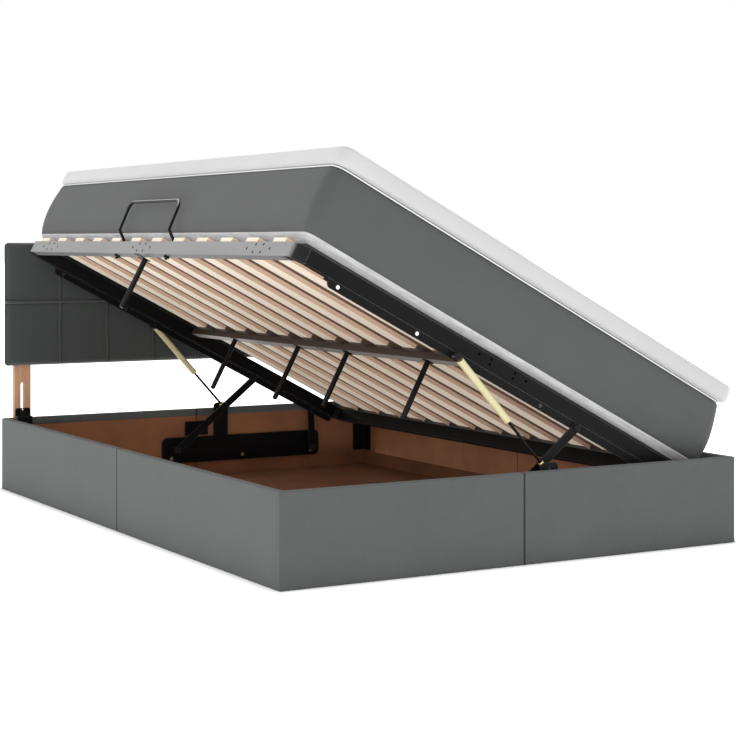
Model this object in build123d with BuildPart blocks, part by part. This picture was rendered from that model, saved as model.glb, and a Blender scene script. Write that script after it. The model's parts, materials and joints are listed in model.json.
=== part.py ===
from math import atan2, cos, degrees, hypot, radians, sin
import os

from build123d import *

os.makedirs("parts", exist_ok=True)

# Storage box, outside sizes
box_length = 2110.0
box_width = 1430.0
box_height = 240.0
board_thickness = 18.0
cover_thickness = 2.0
cover_lift = 1.0
cover_round = 1.5
inner_band = 25.0
floor_thickness = 3.0
floor_boards = 3
bracket_steel = 3.0
corner_reach = 50.0
corner_tall = 120.0
corner_drop = 66.0
joiner_wide = 90.0
joiner_tall = 50.0
joiner_drop = 45.0

# Lifting deck: its own directions are across (from the raised side), along (Y) and up (square to it)
open_tilt = 27.8
open_corner_x = -629.0
open_corner_z = 844.0
closed_corner_x = -688.0
closed_corner_z = 228.0
deck_wide = 1363.0
deck_long = 1980.0
rail_wide = 25.0
rail_tall = 40.0
rail_wall = 1.5
rail_bend = 40.0
centre_across = 681.0
centre_wide = 30.0
centre_tall = 20.0
hole_radius = 3.0
hole_high = 8.0
hole_middle = 19.5
hole_low = 30.5
hole_near = 22.0
hole_far = 66.0
hole_group_pitch = 780.0
end_hole_across = 690.0
end_hole_near = 42.0
end_hole_far = 83.0
end_hole_upper = 9.0
end_hole_lower = 23.0
end_hole_middle = 12.0
centre_hole_pitch = 34.0

# Slats
slats_in_row = 12
slat_pitch = 158.4
slat_wide = 70.0
slat_thick = 12.0
pad_thick = 2.0
pad_long = 22.0
slat_raised_end = 4.0
slat_hinge_end = 1335.0
slat_centre_gap = 5.0
holder_long = 62.0
holder_wall = 3.0
holder_fit = 0.2

# Support legs under the deck
leg_radius = 8.0
leg_tip = 3.5
raised_leg_across = 35.5
raised_leg_along = 20.0
raised_leg_long = 161.0
centre_leg_long = 184.0
centre_leg_outer = 630.0
centre_leg_inner = 162.0
leg_foot_plate = 2.0
leg_plate_wide = 26.0
raised_plate_wide = 48.0
raised_plate_middle = 25.0

# Mattress stop on the raised rail
hoop_rod_radius = 4.5
hoop_half_width = 188.0
hoop_across = 12.5
hoop_kink_out = -18.0
hoop_kink_up = 30.0
hoop_top_out = -24.0
hoop_top_up = 121.0
hoop_start_up = 6.0
hoop_below = 52.0
hoop_bend = 26.0
hoop_nut_radius = 9.0
hoop_nut_tall = 7.0

# Mattress and topper
mattress_raised_edge = -5.0
mattress_hinge_edge = 1418.0
mattress_foot_end = -1000.0
mattress_head_end = 1012.0
mattress_corner = 42.0
mattress_bottom = 14.0
mattress_band_top = 34.0
mattress_middle = 125.0
mattress_top = 224.0
bottom_inset = 38.0
band_inset = 17.0
top_inset = 9.0
side_layers = 6
tape_tall = 8.0
tape_deep = 5.0
tape_out = 2.0
topper_raised_edge = -2.0
topper_hinge_edge = 1420.0
topper_foot_end = -1012.0
topper_head_end = 1012.0
topper_thick = 50.0
topper_round = 12.0
round_steps = 3
topper_corner = 32.0

# Lift mechanism at each end of the bed
plate_start = 118.0
plate_end = 1330.0
plate_steel = 4.0
plate_flange = 30.0
plate_drop = 62.0
plate_nose = 14.0
pivot_drop = 52.0
arm_head_across = 977.0
link_head_across = 1240.0
strut_head_across = 536.0
arm_foot_reach = 375.5
link_foot_reach = 127.0
strut_foot_x = 95.0
strut_foot_z = 245.0
arm_gap = 1.5
arm_steel = 4.0
arm_wide = 25.0
link_wide = 25.0
pin_radius = 5.0
pin_head_radius = 9.0
pin_head = 3.0
pin_clearance = 0.05
loose_clearance = 0.3
tip_clearance = 0.5
spacer_radius = 10.0
strut_gap = 11.0
cylinder_radius = 10.0
cylinder_long = 237.0
cylinder_start = 8.0
cylinder_bore = 8.0
cylinder_cap = 14.0
eye_radius = 11.0
eye_thick = 14.0
stud_radius = 4.0
rod_radius = 4.0
piston_long = 10.0
piston_from_foot = 186.0
piston_clearance = 0.1
rod_barrel_radius = 6.5
rod_barrel_long = 18.0
base_steel = 4.0
base_low = 48.0
base_high = 140.0
base_margin = 45.0
base_round = 20.0
tab_wide = 56.0
bolt_radius = 3.0
bolt_head_radius = 7.0
bolt_head = 4.0
bolt_low_head = 1.0
bolt_nut_radius = 5.8
base_bolt_pitch = 280.0
base_bolt_low = 66.0
plate_bolts_across = (150.0, 411.0, 845.0)
plate_bolt_drop = 50.0

# Headboard
headboard_low = 418.0
headboard_high = 838.0
headboard_front = 1017.5
headboard_half_wide = 704.0
headboard_board = 12.0
board_inset = 4.0
channels = 8
channel_crown = 7.0
pad_edge_round = 14.0
row_split = 635.0
piping_radius = 4.5
piping_out = 1.5
leg_wide = 60.0
leg_thick = 18.0
leg_centre = 640.5
leg_low = 108.0
leg_high = 790.0
leg_edge = 3.0
slot_width = 13.0
slot_top = 358.0
slot_bottom = 249.9
slide_gap = 0.2
panel_gap = 1.0
clamp_wide = 52.0
clamp_top = 271.0
clamp_steel = 4.0
clamp_corner = 8.0
clamp_drop = 60.0
clamp_hole = 266.0
clamp_bolt = 254.0
clamp_bolt_radius = 3.95
clamp_nut_radius = 9.0
clamp_nut = 6.0

overrun = 5.0

panel_thickness = board_thickness + 2 * cover_thickness
half_length = box_length / 2
half_width = box_width / 2
inner_half_length = half_length - panel_thickness
inner_half_width = half_width - panel_thickness
board_half_length = inner_half_length + cover_thickness
board_half_width = inner_half_width + cover_thickness
rail_half_long = deck_long / 2


def save(piece, label):
    piece.part.label = label
    export_step(piece.part, f"parts/{label}.step")


def patch(low_x, high_x, low_y, high_y):
    with Locations(((low_x + high_x) / 2, (low_y + high_y) / 2)):
        Rectangle(high_x - low_x, high_y - low_y)


def upright(along):
    """Vertical plane across the bed: sketch x to the hinge side, sketch y up."""
    return Plane(origin=(0, along, 0), x_dir=(1, 0, 0), z_dir=(0, -1, 0))


deck = Plane(
    origin=(open_corner_x, 0, open_corner_z),
    x_dir=(cos(radians(open_tilt)), 0, -sin(radians(open_tilt))),
    z_dir=(sin(radians(open_tilt)), 0, cos(radians(open_tilt))),
)


def deck_upright(along):
    """The same plane for the tilted deck: sketch x across the deck, sketch y square to it."""
    return Plane(origin=deck.from_local_coords((0, along, 0)), x_dir=deck.x_dir, z_dir=(0, -1, 0))


def outward(end, thickness):
    """Extrusion amount that runs from the bed's middle towards one end."""
    return -end * thickness


# Box panels: each half is a board with a fabric cover folded over its top edge
def box_half(name, corner, along, outside, length):
    """Half a side: corner is its lower outside corner, along the way it runs with up on its left."""
    face = Plane(origin=corner, x_dir=along, z_dir=outside)
    top = box_height - cover_thickness
    far = length - cover_thickness
    with BuildPart() as board:
        with BuildSketch(face.offset(-cover_thickness)):
            patch(cover_thickness, far, 0, top)
        extrude(amount=-board_thickness)
    save(board, f"{name}_board")
    with BuildPart() as cover:
        with BuildSketch(face):
            patch(0, length, cover_lift, box_height)
        extrude(amount=-panel_thickness)
        rim = cover.faces().sort_by(Axis(corner, outside))[-1].edges().sort_by(Axis.Z)[1:]
        fillet(rim, cover_round)
        with BuildSketch(face.offset(-cover_thickness)):
            patch(cover_thickness, far, 0, top)
        extrude(amount=-board_thickness, mode=Mode.SUBTRACT)
        with BuildSketch(face.offset(-cover_thickness - board_thickness)):
            patch(0, length, 0, box_height - inner_band)
        extrude(amount=-cover_thickness, mode=Mode.SUBTRACT)
    save(cover, f"{name}_cover")


def make_box():
    half_side = half_length - panel_thickness
    box_half("foot_left", (-half_width, -half_length, 0), (1, 0, 0), (0, -1, 0), half_width)
    box_half("foot_right", (0, -half_length, 0), (1, 0, 0), (0, -1, 0), half_width)
    box_half("head_left", (0, half_length, 0), (-1, 0, 0), (0, 1, 0), half_width)
    box_half("head_right", (half_width, half_length, 0), (-1, 0, 0), (0, 1, 0), half_width)
    box_half("left_side_foot", (-half_width, 0, 0), (0, -1, 0), (-1, 0, 0), half_side)
    box_half("left_side_head", (-half_width, half_side, 0), (0, -1, 0), (-1, 0, 0), half_side)
    box_half("right_side_foot", (half_width, -half_side, 0), (0, 1, 0), (1, 0, 0), half_side)
    box_half("right_side_head", (half_width, 0, 0), (0, 1, 0), (1, 0, 0), half_side)


def make_floor():
    """Thin boards side by side inside the box; the middle one carries the origin."""
    board_wide = 2 * board_half_length / floor_boards
    for index, name in enumerate(("foot", "middle", "head")):
        start = -board_half_length + index * board_wide
        with BuildPart() as floor_board:
            with BuildSketch(Plane.XY):
                patch(-board_half_width, board_half_width, start, start + board_wide)
            extrude(amount=floor_thickness)
        save(floor_board, f"floor_board_{name}")


def make_box_hardware():
    top = box_height - corner_drop
    with BuildPart() as corner_brackets:
        for side in (-1, 1):
            for end in (-1, 1):
                with BuildSketch(Plane.XY.offset(top - corner_tall)):
                    with BuildLine():
                        x = side * board_half_width
                        y = end * board_half_length
                        Polyline(
                            (x, y),
                            (x - side * corner_reach, y),
                            (x - side * corner_reach, y - end * bracket_steel),
                            (x - side * bracket_steel, y - end * bracket_steel),
                            (x - side * bracket_steel, y - end * corner_reach),
                            (x, y - end * corner_reach),
                            close=True,
                        )
                    make_face()
                extrude(amount=corner_tall)
    save(corner_brackets, "corner_brackets")
    low = box_height - joiner_drop - joiner_tall
    high = box_height - joiner_drop
    with BuildPart() as joiner_plates:
        for end in (-1, 1):
            with BuildSketch(upright(end * board_half_length)):
                patch(-joiner_wide / 2, joiner_wide / 2, low, high)
            extrude(amount=outward(-end, bracket_steel))
        for side in (-1, 1):
            wall = Plane(
                origin=(side * board_half_width, 0, 0),
                x_dir=(0, 1, 0),
                z_dir=(1, 0, 0),
            )
            with BuildSketch(wall):
                patch(-joiner_wide / 2, joiner_wide / 2, low, high)
            extrude(amount=-side * bracket_steel)
    save(joiner_plates, "joiner_plates")


# Deck frame: one rounded tube frame, cut into four rails, and a centre rail
def deck_tube(inset, height):
    """Plan of the tube frame, or of its hollow when inset is the wall."""
    outer_x = deck_wide - 2 * inset
    outer_y = deck_long - 2 * inset
    inner_x = deck_wide - 2 * (rail_wide - inset)
    inner_y = deck_long - 2 * (rail_wide - inset)
    with BuildSketch(deck.offset(height)) as plan:
        with Locations((deck_wide / 2, 0)):
            RectangleRounded(outer_x, outer_y, rail_bend - inset)
            RectangleRounded(inner_x, inner_y, rail_bend - rail_wide + inset, mode=Mode.SUBTRACT)
    return plan.sketch


def rail(low_across, high_across, low_along, high_along):
    """The stretch of the tube frame that lies inside a rectangle of the deck."""
    with BuildPart() as piece:
        extrude(deck_tube(0, -rail_tall), amount=rail_tall)
        hollow = deck_tube(rail_wall, rail_wall - rail_tall)
        extrude(hollow, amount=rail_tall - 2 * rail_wall, mode=Mode.SUBTRACT)
        with BuildSketch(deck.offset(-rail_tall - overrun)):
            patch(low_across, high_across, low_along, high_along)
        extrude(amount=rail_tall + 2 * overrun, mode=Mode.INTERSECT)
    return piece


def raised_rail_holes():
    """Places of the six-hole groups on the raised rail, as along and height."""
    places = []
    for group in (-1, 0, 1):
        middle = group * hole_group_pitch
        for side in (-1, 1):
            places.append((middle + side * hole_far, -hole_middle))
            places.append((middle + side * hole_near, -hole_high))
            places.append((middle + side * hole_near, -hole_low))
    return places


def make_rails():
    far = rail_half_long + overrun
    hinge_start = deck_wide - rail_bend
    raised = rail(-overrun, rail_bend, -far, far)
    hoop_holes = deck.offset(-rail_tall - overrun)
    with BuildPart() as raised_rail:
        add(raised.part)
        with BuildSketch(Plane(origin=deck.origin, x_dir=(0, 1, 0), z_dir=-deck.x_dir)):
            with Locations(*[(along, height) for along, height in raised_rail_holes()]):
                Circle(hole_radius)
        extrude(amount=-2 * rail_wall, mode=Mode.SUBTRACT)
        with BuildSketch(hoop_holes):
            with Locations((hoop_across, hoop_half_width), (hoop_across, -hoop_half_width)):
                Circle(hoop_rod_radius)
        extrude(amount=rail_tall + 2 * overrun, mode=Mode.SUBTRACT)
    save(raised_rail, "raised_rail")
    hinge_rail = rail(hinge_start, deck_wide + overrun, -far, far)
    save(hinge_rail, "hinge_rail")
    for name, end in (("foot", -1), ("head", 1)):
        low = min(end * far, 0)
        straight = rail(rail_bend, hinge_start, low, low + far)
        with BuildPart() as end_rail:
            add(straight.part)
            with BuildSketch(deck_upright(end * rail_half_long)):
                with Locations(*end_rail_holes()):
                    Circle(hole_radius)
            extrude(amount=outward(end, -2 * rail_wall), mode=Mode.SUBTRACT)
        save(end_rail, f"{name}_rail")


def end_rail_holes():
    places = []
    for side in (-1, 1):
        places.append((end_hole_across + side * end_hole_far, -end_hole_middle))
        places.append((end_hole_across + side * end_hole_near, -end_hole_upper))
        places.append((end_hole_across + side * end_hole_near, -end_hole_lower))
    return places


def make_centre_rail():
    span = rail_half_long - rail_wide
    low = centre_across - centre_wide / 2
    high = centre_across + centre_wide / 2
    with BuildPart() as centre_rail:
        with BuildSketch(deck_upright(-span)):
            patch(low, high, -centre_tall, 0)
        extrude(amount=-2 * span)
        with BuildSketch(deck_upright(-span - overrun)):
            patch(low + rail_wall, high - rail_wall, -centre_tall + rail_wall, -rail_wall)
        extrude(amount=-2 * (span + overrun), mode=Mode.SUBTRACT)
        with BuildSketch(deck.offset(-centre_tall - overrun)):
            with Locations((centre_across, centre_hole_pitch / 2), (centre_across, -centre_hole_pitch / 2)):
                Circle(hole_radius)
        extrude(amount=overrun + 2 * rail_wall, mode=Mode.SUBTRACT)
    save(centre_rail, "centre_rail")


# Slats in two rows, with pads on the outer rails and holders on the centre rail
def slat_places():
    first = -slat_pitch * (slats_in_row - 1) / 2
    return [first + index * slat_pitch for index in range(slats_in_row)]


def slat_row(low_across, high_across, name):
    with BuildPart() as row:
        with BuildSketch(deck.offset(pad_thick)):
            with Locations(*[((low_across + high_across) / 2, along) for along in slat_places()]):
                Rectangle(high_across - low_across, slat_wide)
        extrude(amount=slat_thick)
    save(row, name)


def make_slats():
    inner_gap = slat_centre_gap / 2
    slat_row(slat_raised_end, centre_across - inner_gap, "slats_raised_row")
    slat_row(centre_across + inner_gap, slat_hinge_end, "slats_hinge_row")
    raised_middle = slat_raised_end + pad_long / 2
    hinge_middle = slat_hinge_end - pad_long / 2
    with BuildPart() as slat_pads:
        with BuildSketch(deck):
            with Locations(*[(raised_middle, along) for along in slat_places()]):
                Rectangle(pad_long, slat_wide)
            with Locations(*[(hinge_middle, along) for along in slat_places()]):
                Rectangle(pad_long, slat_wide)
        extrude(amount=pad_thick)
    save(slat_pads, "slat_pads")
    pocket = slat_wide + 2 * holder_fit
    with BuildPart() as slat_holders:
        with BuildSketch(deck):
            with Locations(*[(centre_across, along) for along in slat_places()]):
                Rectangle(holder_long, pocket + 2 * holder_wall)
        extrude(amount=pad_thick + slat_thick)
        with BuildSketch(deck.offset(pad_thick)):
            with Locations(*[(centre_across, along) for along in slat_places()]):
                Rectangle(holder_long + 2 * overrun, pocket)
        extrude(amount=slat_thick + overrun, mode=Mode.SUBTRACT)
    save(slat_holders, "slat_holders")


# Support legs: round tubes square to the deck, closed by a rounded foot
def make_support_legs(name, across, places, top_height, length, plate_across, plate_wide):
    with BuildPart() as legs:
        with BuildSketch(deck.offset(top_height)):
            with Locations(*[(plate_across, along) for along in places]):
                Rectangle(plate_wide, leg_plate_wide)
        extrude(amount=-leg_foot_plate)
        with BuildSketch(deck.offset(top_height - leg_foot_plate)):
            with Locations(*[(across, along) for along in places]):
                Circle(leg_radius)
        extrude(amount=leg_foot_plate - length)
        tips = legs.faces().sort_by(Axis(deck.origin, deck.z_dir))[0:len(places)]
        chamfer([edge for tip in tips for edge in tip.edges()], leg_tip)
    save(legs, name)


# Mattress stop: a bent rod through the raised rail, held by nuts below
def make_hoop():
    points = [
        (hoop_across, -hoop_half_width, -hoop_below),
        (hoop_across, -hoop_half_width, hoop_start_up),
        (hoop_kink_out, -hoop_half_width, hoop_kink_up),
        (hoop_top_out, -hoop_half_width, hoop_top_up),
        (hoop_top_out, hoop_half_width, hoop_top_up),
        (hoop_kink_out, hoop_half_width, hoop_kink_up),
        (hoop_across, hoop_half_width, hoop_start_up),
        (hoop_across, hoop_half_width, -hoop_below),
    ]
    route = [deck.from_local_coords(point) for point in points]
    rise = (route[3] - route[2]).normalized()
    run = (route[4] - route[3]).normalized()
    first_end = route[3] - rise * hoop_bend
    second_start = route[4] - run * hoop_bend
    with BuildPart() as mattress_stop:
        with BuildLine() as path:
            Polyline(*route[0:3], first_end)
            TangentArc(first_end, route[3] + run * hoop_bend, tangent=rise)
            Line(route[3] + run * hoop_bend, second_start)
            TangentArc(second_start, route[4] - rise * hoop_bend, tangent=run)
            Polyline(route[4] - rise * hoop_bend, *route[5:])
        with BuildSketch(Plane(origin=route[0], z_dir=deck.z_dir)):
            Circle(hoop_rod_radius)
        sweep(transition=Transition.RIGHT)
    save(mattress_stop, "mattress_stop")
    with BuildPart() as stop_nuts:
        with BuildSketch(deck.offset(-rail_tall)):
            with Locations((hoop_across, hoop_half_width), (hoop_across, -hoop_half_width)):
                RegularPolygon(hoop_nut_radius, 6)
                Circle(hoop_rod_radius, mode=Mode.SUBTRACT)
        extrude(amount=-hoop_nut_tall)
    save(stop_nuts, "mattress_stop_nuts")


# Mattress with a drawn-in lower band and gently bulging sides, its edge tape and the topper
def cushion_layer(low_across, high_across, foot_end, head_end, corner, height, inset):
    with BuildSketch(deck.offset(height)) as layer:
        with Locations(((low_across + high_across) / 2, (foot_end + head_end) / 2)):
            RectangleRounded(
                high_across - low_across - 2 * inset, head_end - foot_end - 2 * inset, corner - inset
            )
    return layer.sketch.face()


def mattress_layer(height, inset):
    return cushion_layer(
        mattress_raised_edge,
        mattress_hinge_edge,
        mattress_foot_end,
        mattress_head_end,
        mattress_corner,
        height,
        inset,
    )


def bulge_inset(height):
    """How far the mattress side lies inside its widest line: a parabola on each side of it."""
    if height < mattress_middle:
        share = (mattress_middle - height) / (mattress_middle - mattress_band_top)
        return band_inset * share**2
    share = (height - mattress_middle) / (mattress_top - mattress_middle)
    return top_inset * share**2


def tape_ring(outer_inset):
    """Plan of a ring at the mattress's top edge, out to an inset from its widest line."""
    wide = mattress_hinge_edge - mattress_raised_edge
    long = mattress_head_end - mattress_foot_end
    inner_inset = top_inset + tape_deep
    middle_across = (mattress_raised_edge + mattress_hinge_edge) / 2
    middle_along = (mattress_foot_end + mattress_head_end) / 2
    with BuildSketch(deck.offset(mattress_top - tape_tall)) as ring:
        with Locations((middle_across, middle_along)):
            RectangleRounded(
                wide - 2 * outer_inset, long - 2 * outer_inset, mattress_corner - outer_inset
            )
            RectangleRounded(
                wide - 2 * inner_inset,
                long - 2 * inner_inset,
                mattress_corner - inner_inset,
                mode=Mode.SUBTRACT,
            )
    return ring.sketch


def make_mattress():
    step = (mattress_top - mattress_band_top) / side_layers
    heights = [mattress_band_top + index * step for index in range(side_layers + 1)]
    layers = [mattress_layer(mattress_bottom, bottom_inset)]
    layers += [mattress_layer(height, bulge_inset(height)) for height in heights]
    with BuildPart() as mattress:
        loft(layers, ruled=True)
        extrude(tape_ring(0), amount=tape_tall, mode=Mode.SUBTRACT)
    save(mattress, "mattress")
    with BuildPart() as mattress_tape:
        extrude(tape_ring(top_inset - tape_out), amount=tape_tall)
    save(mattress_tape, "mattress_tape")


def make_topper():
    """Slab whose upper and lower edges are rounded in steps."""
    angles = [90 * index / round_steps for index in range(round_steps + 1)]
    lower = [(topper_round * (1 - cos(radians(angle))), angle) for angle in angles]
    upper = [(topper_thick - rise, angle) for rise, angle in reversed(lower)]
    layers = []
    for rise, angle in lower + upper:
        layers.append(
            cushion_layer(
                topper_raised_edge,
                topper_hinge_edge,
                topper_foot_end,
                topper_head_end,
                topper_corner,
                mattress_top + rise,
                topper_round * (1 - sin(radians(angle))),
            )
        )
    with BuildPart() as topper:
        loft(layers, ruled=True)
    save(topper, "topper")


# Lift mechanism: pivot places are x and z of the open deck and of the closed one
def open_place(across):
    place = deck.from_local_coords((across, 0, -pivot_drop))
    return (place.X, place.Z)


def closed_place(across):
    return (closed_corner_x + across, closed_corner_z - pivot_drop)


def foot_pivot(across, reach):
    """Pivot on the box that is equally far from both end places of a pivot on the deck."""
    open_x, open_z = open_place(across)
    closed_x, closed_z = closed_place(across)
    travel = hypot(closed_x - open_x, closed_z - open_z)
    middle_x = (open_x + closed_x) / 2
    middle_z = (open_z + closed_z) / 2
    shift = reach / travel
    return (middle_x - shift * (open_z - closed_z), middle_z - shift * (closed_x - open_x))


arm_foot = foot_pivot(arm_head_across, arm_foot_reach)
arm_head = open_place(arm_head_across)
link_foot = foot_pivot(link_head_across, link_foot_reach)
link_head = open_place(link_head_across)
strut_foot = (strut_foot_x, strut_foot_z)
strut_head = open_place(strut_head_across)

plate_outer = rail_half_long
plate_inner = plate_outer - plate_steel
arm_inner = plate_outer + arm_gap
arm_outer = arm_inner + arm_steel
strut_middle = arm_outer + strut_gap
base_outer = inner_half_length
base_inner = base_outer - base_steel


def disc(end, place, radius, start, stop, mode=Mode.ADD):
    """Round pin, or hole, along Y between two distances from the bed's middle."""
    with BuildSketch(upright(end * start)) as circle:
        with Locations(place):
            Circle(radius)
    extrude(circle.sketch, amount=outward(end, stop - start), mode=mode)


def round_hole(end, place, radius, start, stop):
    disc(end, place, radius, start - overrun, stop + overrun, Mode.SUBTRACT)


def make_lift_plate(name, end, head_clearance):
    """Angle strip under an end rail: flange against the rail, web hanging outside it."""
    with BuildPart() as plate:
        with BuildSketch(deck_upright(end * plate_inner)):
            patch(plate_start, plate_end, -plate_drop, -rail_tall)
        extrude(amount=outward(end, plate_steel))
        lower = plate.edges().filter_by(Axis.Y).sort_by(Axis(deck.origin, deck.z_dir))[0:2]
        fillet(lower, plate_nose)
        with BuildSketch(deck_upright(end * (plate_outer - plate_flange))):
            patch(plate_start, plate_end, -rail_tall - plate_steel, -rail_tall)
        extrude(amount=outward(end, plate_flange))
        round_hole(end, arm_head, pin_radius + head_clearance, plate_inner, plate_outer)
        round_hole(end, link_head, pin_radius, plate_inner, plate_outer)
        round_hole(end, strut_head, stud_radius, plate_inner, plate_outer)
        with BuildSketch(deck_upright(end * (plate_inner - overrun))):
            with Locations(*[(across, -plate_bolt_drop) for across in plate_bolts_across]):
                Circle(bolt_radius)
        extrude(amount=outward(end, plate_steel + 2 * overrun), mode=Mode.SUBTRACT)
    save(plate, f"lift_plate_{name}")


def make_plate_bolts():
    with BuildPart() as plate_bolts:
        for end in (-1, 1):
            places = [(across, -plate_bolt_drop) for across in plate_bolts_across]
            with BuildSketch(deck_upright(end * plate_outer)):
                with Locations(*places):
                    RegularPolygon(bolt_nut_radius, 6)
            extrude(amount=outward(end, bolt_low_head))
            with BuildSketch(deck_upright(end * (plate_inner - bolt_head))):
                with Locations(*places):
                    Circle(bolt_radius)
            extrude(amount=outward(end, plate_steel + bolt_head))
            with BuildSketch(deck_upright(end * (plate_inner - bolt_head))):
                with Locations(*places):
                    RegularPolygon(bolt_nut_radius, 6)
            extrude(amount=outward(end, bolt_head))
    save(plate_bolts, "lift_plate_bolts")


def bar_outline(start, stop, width):
    """Flat bar with round ends about two pivots."""
    middle = ((start[0] + stop[0]) / 2, (start[1] + stop[1]) / 2)
    with Locations(Location((middle[0], middle[1], 0), (0, 0, bar_angle(start, stop)))):
        SlotCenterToCenter(hypot(stop[0] - start[0], stop[1] - start[1]), width)


def bar_angle(start, stop):
    return degrees(atan2(stop[1] - start[1], stop[0] - start[0]))


def make_bar(label, end, foot, head, width, pin_start):
    """Arm or link: a bar, and the headed pin riveted in its upper end."""
    with BuildPart() as bar:
        with BuildSketch(upright(end * arm_inner)):
            bar_outline(foot, head, width)
        extrude(amount=outward(end, arm_steel))
        round_hole(end, foot, pin_radius + pin_clearance, arm_inner, arm_outer)
        disc(end, head, pin_radius, pin_start, arm_inner)
        disc(end, head, pin_head_radius, arm_outer, arm_outer + pin_head)
    save(bar, label)


def make_bars():
    for name, end in (("foot", -1), ("head", 1)):
        make_bar(f"lift_arm_{name}", end, arm_foot, arm_head, arm_wide, plate_inner)
        link_tip = plate_outer + tip_clearance
        make_bar(f"rear_link_{name}", end, link_foot, link_head, link_wide, link_tip)


def make_gas_strut(name, end):
    """Cylinder with its ball stud on the deck side, and rod with its socket on the box side."""
    run_x = strut_foot[0] - strut_head[0]
    run_z = strut_foot[1] - strut_head[1]
    length = hypot(run_x, run_z)
    along = (run_x / length, 0, run_z / length)
    top = (strut_head[0], end * strut_middle, strut_head[1])
    axis = Plane(origin=top, z_dir=along)
    eye_inner = strut_middle - eye_thick / 2
    eye_outer = strut_middle + eye_thick / 2
    chamber_end = cylinder_long - cylinder_cap
    with BuildPart() as cylinder:
        disc(end, strut_head, eye_radius, eye_inner, eye_outer)
        disc(end, strut_head, stud_radius, plate_outer + tip_clearance, eye_inner)
        with BuildSketch(axis.offset(cylinder_start)):
            Circle(cylinder_radius)
        extrude(amount=cylinder_long - cylinder_start)
        with BuildSketch(axis.offset(eye_radius + cylinder_cap)):
            Circle(cylinder_bore)
        extrude(amount=chamber_end - eye_radius - cylinder_cap, mode=Mode.SUBTRACT)
        with BuildSketch(axis.offset(chamber_end - overrun)):
            Circle(rod_radius + pin_clearance)
        extrude(amount=cylinder_cap + 2 * overrun, mode=Mode.SUBTRACT)
    save(cylinder, f"gas_cylinder_{name}")
    with BuildPart() as rod:
        disc(end, strut_foot, eye_radius, eye_inner, eye_outer)
        with BuildSketch(axis.offset(length - rod_barrel_long)):
            Circle(rod_barrel_radius)
        extrude(amount=rod_barrel_long)
        with BuildSketch(axis.offset(length - piston_from_foot)):
            Circle(rod_radius)
        extrude(amount=piston_from_foot - rod_barrel_long)
        with BuildSketch(axis.offset(length - piston_from_foot - piston_long)):
            Circle(cylinder_bore - piston_clearance)
        extrude(amount=piston_long)
        round_hole(end, strut_foot, stud_radius + pin_clearance, eye_inner, eye_outer)
    save(rod, f"gas_rod_{name}")


def make_lift_base(name, end):
    """Plate bolted inside an end panel, with a tab that rises past the rim for the strut."""
    low_x = arm_foot[0] - base_margin
    high_x = link_foot[0] + base_margin
    with BuildPart() as base:
        with BuildSketch(upright(end * base_inner)):
            patch(low_x, high_x, base_low, base_high)
        extrude(amount=outward(end, base_steel))
        fillet(base.edges().filter_by(Axis.Y), base_round)
        with BuildSketch(upright(end * base_inner)):
            patch(strut_foot_x - tab_wide / 2, strut_foot_x + tab_wide / 2, base_low, strut_foot_z)
            with Locations(strut_foot):
                SlotCenterToCenter(tab_wide / 2, tab_wide / 2)
        extrude(amount=outward(end, base_steel))
        for place in (arm_foot, link_foot):
            round_hole(end, place, pin_radius, base_inner, base_outer)
        round_hole(end, strut_foot, stud_radius, base_inner, base_outer)
        with BuildSketch(upright(end * (base_inner - overrun))):
            with Locations(*base_bolt_places()):
                Circle(bolt_radius)
        extrude(amount=outward(end, base_steel + 2 * overrun), mode=Mode.SUBTRACT)
    save(base, f"lift_base_{name}")


def base_bolt_places():
    middle = (arm_foot[0] + link_foot[0]) / 2
    return [(middle + step * base_bolt_pitch, base_bolt_low) for step in (-1, 0, 1)]


def make_base_bolts():
    with BuildPart() as base_bolts:
        for end in (-1, 1):
            with BuildSketch(upright(end * base_outer)):
                with Locations(*base_bolt_places()):
                    Circle(bolt_radius)
            extrude(amount=outward(end, -base_steel))
            with BuildSketch(upright(end * base_inner)):
                with Locations(*base_bolt_places()):
                    RegularPolygon(bolt_head_radius, 6)
            extrude(amount=outward(end, -bolt_head))
    save(base_bolts, "lift_base_bolts")


def make_base_pivots():
    """Shouldered pivot pins of the arms and links, and the strut studs."""
    with BuildPart() as base_pivots:
        for end in (-1, 1):
            for place in (arm_foot, link_foot):
                disc(end, place, spacer_radius, arm_outer + tip_clearance / 2, base_inner)
                disc(end, place, pin_radius, arm_inner - pin_clearance, base_outer)
                disc(end, place, pin_head_radius, arm_inner - pin_head, arm_inner - pin_clearance)
            disc(end, strut_foot, stud_radius, strut_middle - eye_thick / 2, base_outer)
            foot_collar = strut_middle + eye_thick / 2 + tip_clearance / 2
            disc(end, strut_foot, eye_radius / 2, foot_collar, base_inner)
    save(base_pivots, "lift_base_pivots")


# Headboard: sewn channels in two rows, on a board with two slotted legs
leg_face = half_length + panel_gap + slide_gap
pad_back = leg_face - headboard_board


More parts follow.
